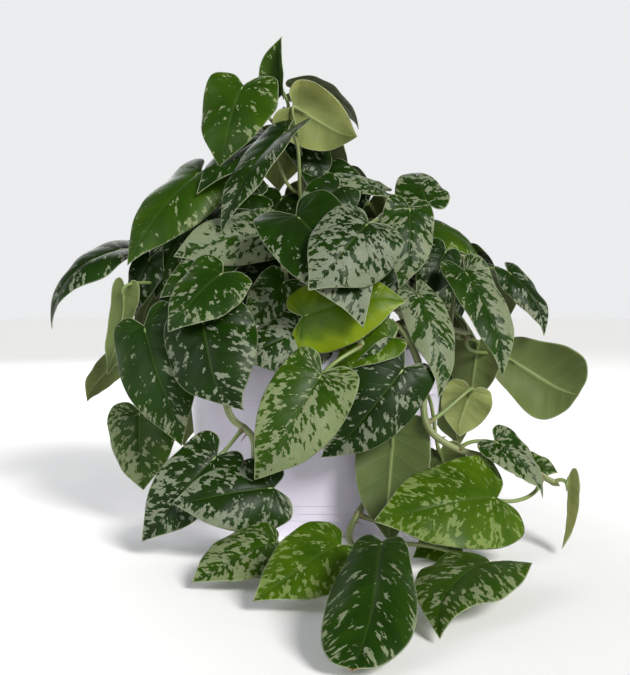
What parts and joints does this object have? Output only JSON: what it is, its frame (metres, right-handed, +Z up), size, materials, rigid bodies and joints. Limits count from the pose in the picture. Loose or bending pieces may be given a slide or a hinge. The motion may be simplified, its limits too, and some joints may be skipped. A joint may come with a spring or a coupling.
{
  "type": "potted satin pothos",
  "caption": "Satin pothos with silver-blotched heart-shaped leaves on arching and trailing vines, in a round white outer pot with a black grow pot.",
  "frame": {"origin": "centre of the outer pot's flat foot, on the surface that it stands on", "axes": "+Z up along the pot's axis, -Y towards the front, where the vines trail, +X to the right seen from the front"},
  "size_m": [0.4174, 0.4986, 0.376],
  "materials": {
    "white_pot": "satin",
    "black_pot": "gloss",
    "soil": "loose potting mix",
    "stem": "smooth green stem",
    "leaf_dark": "satin leaf",
    "leaf_mid": "satin leaf",
    "leaf_bright": "satin leaf",
    "leaf_silver": "satin leaf"
  },
  "bodies": {
    "root": {"outer_pot": "white_pot", "grow_pot": "black_pot", "soil": "soil", "vine_crown": "stem", "vine_left_high": "stem", "vine_left_far": "stem", "vine_left_rim": "stem", "vine_front": "stem", "vine_middle": "stem", "vine_right_high": "stem", "vine_right_low": "stem", "vine_trail_right": "stem", "vine_trail_front": "stem", "vine_trail_left": "stem", "vine_back_left": "stem", "vine_back_right": "stem", "leaf_crown_1": "leaf_mid", "leaf_crown_2": "leaf_mid", "leaf_crown_3": "leaf_mid", "leaf_crown_4": "leaf_dark", "leaf_crown_5": "leaf_dark", "leaf_crown_6": "leaf_dark", "leaf_left_1": "leaf_bright", "leaf_left_2": "leaf_mid", "leaf_left_3": "leaf_dark", "leaf_rim_1": "leaf_silver", "leaf_rim_2": "leaf_mid", "leaf_rim_3": "leaf_bright", "leaf_rim_4": "leaf_silver", "leaf_front_1": "leaf_silver", "leaf_front_2": "leaf_dark", "leaf_front_3": "leaf_bright", "leaf_front_4": "leaf_silver", "leaf_front_5": "leaf_dark", "leaf_middle_1": "leaf_silver", "leaf_middle_2": "leaf_silver", "leaf_middle_3": "leaf_dark", "leaf_middle_4": "leaf_silver", "leaf_middle_5": "leaf_silver", "leaf_right_1": "leaf_bright", "leaf_right_2": "leaf_dark", "leaf_right_3": "leaf_silver", "leaf_right_5": "leaf_silver", "leaf_right_6": "leaf_mid", "leaf_trail_right_1": "leaf_mid", "leaf_trail_right_2": "leaf_silver", "leaf_trail_right_3": "leaf_mid", "leaf_trail_right_4": "leaf_bright", "leaf_trail_right_5": "leaf_mid", "leaf_trail_front_1": "leaf_dark", "leaf_trail_front_2": "leaf_mid", "leaf_trail_front_3": "leaf_mid", "leaf_trail_left_1": "leaf_silver", "leaf_trail_left_2": "leaf_dark", "leaf_trail_left_3": "leaf_mid", "leaf_back_1": "leaf_dark", "leaf_back_2": "leaf_mid", "leaf_back_3": "leaf_silver", "leaf_back_4": "leaf_dark", "leaf_back_5": "leaf_mid"}
  },
  "joints": []
}
